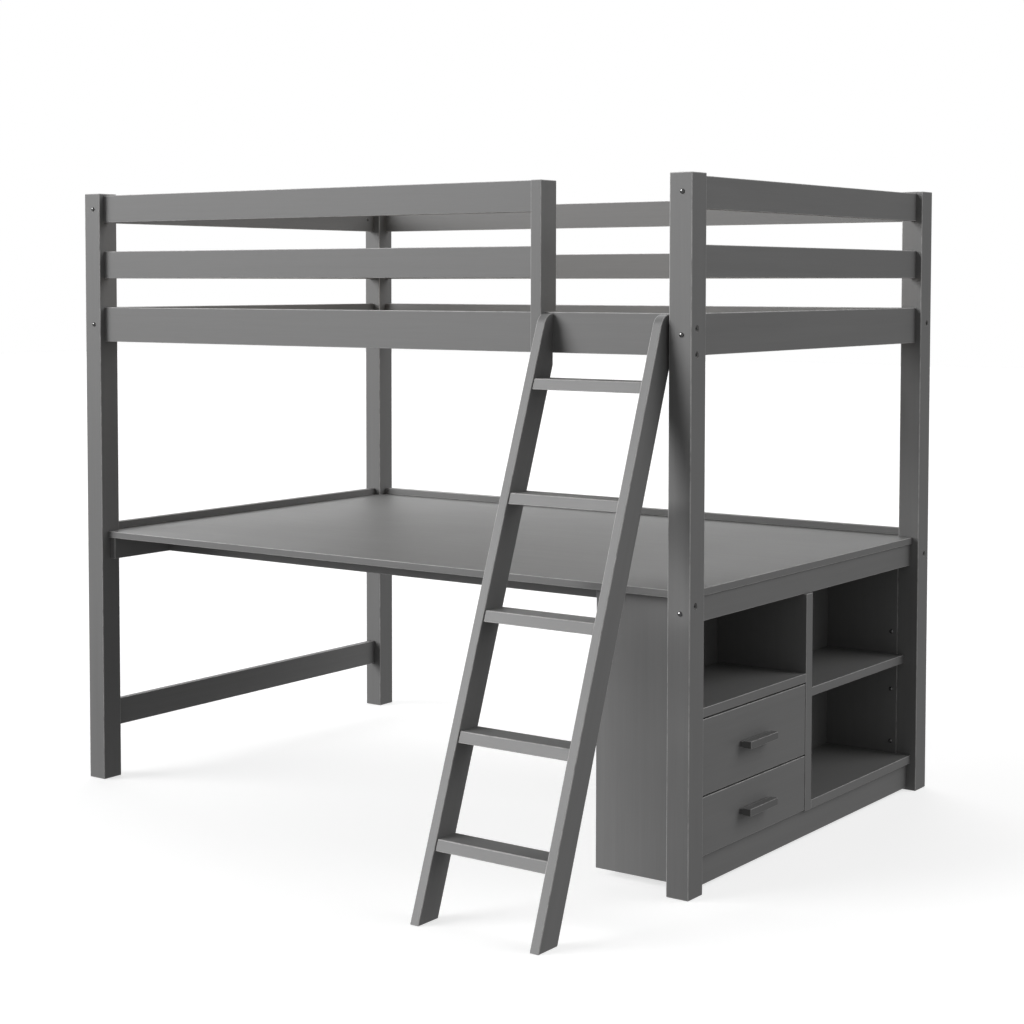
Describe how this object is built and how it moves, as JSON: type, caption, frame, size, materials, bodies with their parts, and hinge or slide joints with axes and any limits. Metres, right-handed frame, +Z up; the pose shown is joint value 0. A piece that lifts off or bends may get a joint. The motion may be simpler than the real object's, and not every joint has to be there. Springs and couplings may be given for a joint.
{
  "type": "loft bed with desk",
  "caption": "Painted wooden loft bed over a full-size desk, with a leaning ladder, guard rails, and an end cabinet with drawers and open shelves under the desk.",
  "frame": {"origin": "bottom centre of the whole object's box, ladder feet and drawer handles included, on the floor", "axes": "+X along the bed from its open left end to the cabinet end, +Y from the ladder side to the back, +Z up"},
  "size_m": [2.1834, 2.0078, 1.83],
  "materials": {
    "grey_paint": "satin grey paint over solid pine and MDF, with faint grain and rubbed edges",
    "pine": "bare planed pine and plywood, matt",
    "bolt_steel": "dark grey painted bolt heads and drawer runners, satin"
  },
  "bodies": {
    "frame": {"cabinet_back": "grey_paint", "cabinet_divider": "grey_paint", "cabinet_floor": "grey_paint", "cabinet_plinth": "grey_paint", "cabinet_side_back": "grey_paint", "cabinet_side_front": "grey_paint", "desk_apron_left": "grey_paint", "desk_apron_right": "grey_paint", "desk_lip_back": "grey_paint", "desk_lip_left": "grey_paint", "desk_rail_back": "grey_paint", "desk_rail_front": "grey_paint", "desk_top": "grey_paint", "guard_post": "grey_paint", "ladder_stile_left": "grey_paint", "ladder_stile_right": "grey_paint", "ladder_tread_1": "grey_paint", "ladder_tread_2": "grey_paint", "ladder_tread_3": "grey_paint", "ladder_tread_4": "grey_paint", "ladder_tread_5": "grey_paint", "ledger_back": "grey_paint", "ledger_front": "grey_paint", "post_back_left": "grey_paint", "post_back_right": "grey_paint", "post_front_left": "grey_paint", "post_front_right": "grey_paint", "rail_back_bed": "grey_paint", "rail_back_middle": "grey_paint", "rail_back_top": "grey_paint", "rail_front_bed": "grey_paint", "rail_front_middle": "grey_paint", "rail_front_top": "grey_paint", "rail_left_bed": "grey_paint", "rail_left_middle": "grey_paint", "rail_left_top": "grey_paint", "rail_right_bed": "grey_paint", "rail_right_middle": "grey_paint", "rail_right_top": "grey_paint", "shelf_open": "grey_paint", "shelf_over_drawers": "grey_paint", "slat_1": "pine", "slat_10": "pine", "slat_2": "pine", "slat_3": "pine", "slat_4": "pine", "slat_5": "pine", "slat_6": "pine", "slat_7": "pine", "slat_8": "pine", "slat_9": "pine", "stretcher_left": "grey_paint"},
    "upper_drawer": {"upper_drawer_front": "grey_paint", "upper_drawer_box": "pine", "upper_drawer_bottom": "pine", "upper_drawer_handle": "grey_paint"},
    "lower_drawer": {"lower_drawer_front": "grey_paint", "lower_drawer_box": "pine", "lower_drawer_bottom": "pine", "lower_drawer_handle": "grey_paint"}
  },
  "joints": [
    {"name": "upper_drawer_slide", "type": "slide", "parent": "frame", "child": "upper_drawer", "axis": [1, 0, 0], "range_m": [0, 0.2]},
    {"name": "lower_drawer_slide", "type": "slide", "parent": "frame", "child": "lower_drawer", "axis": [1, 0, 0], "range_m": [0, 0.2]}
  ]
}
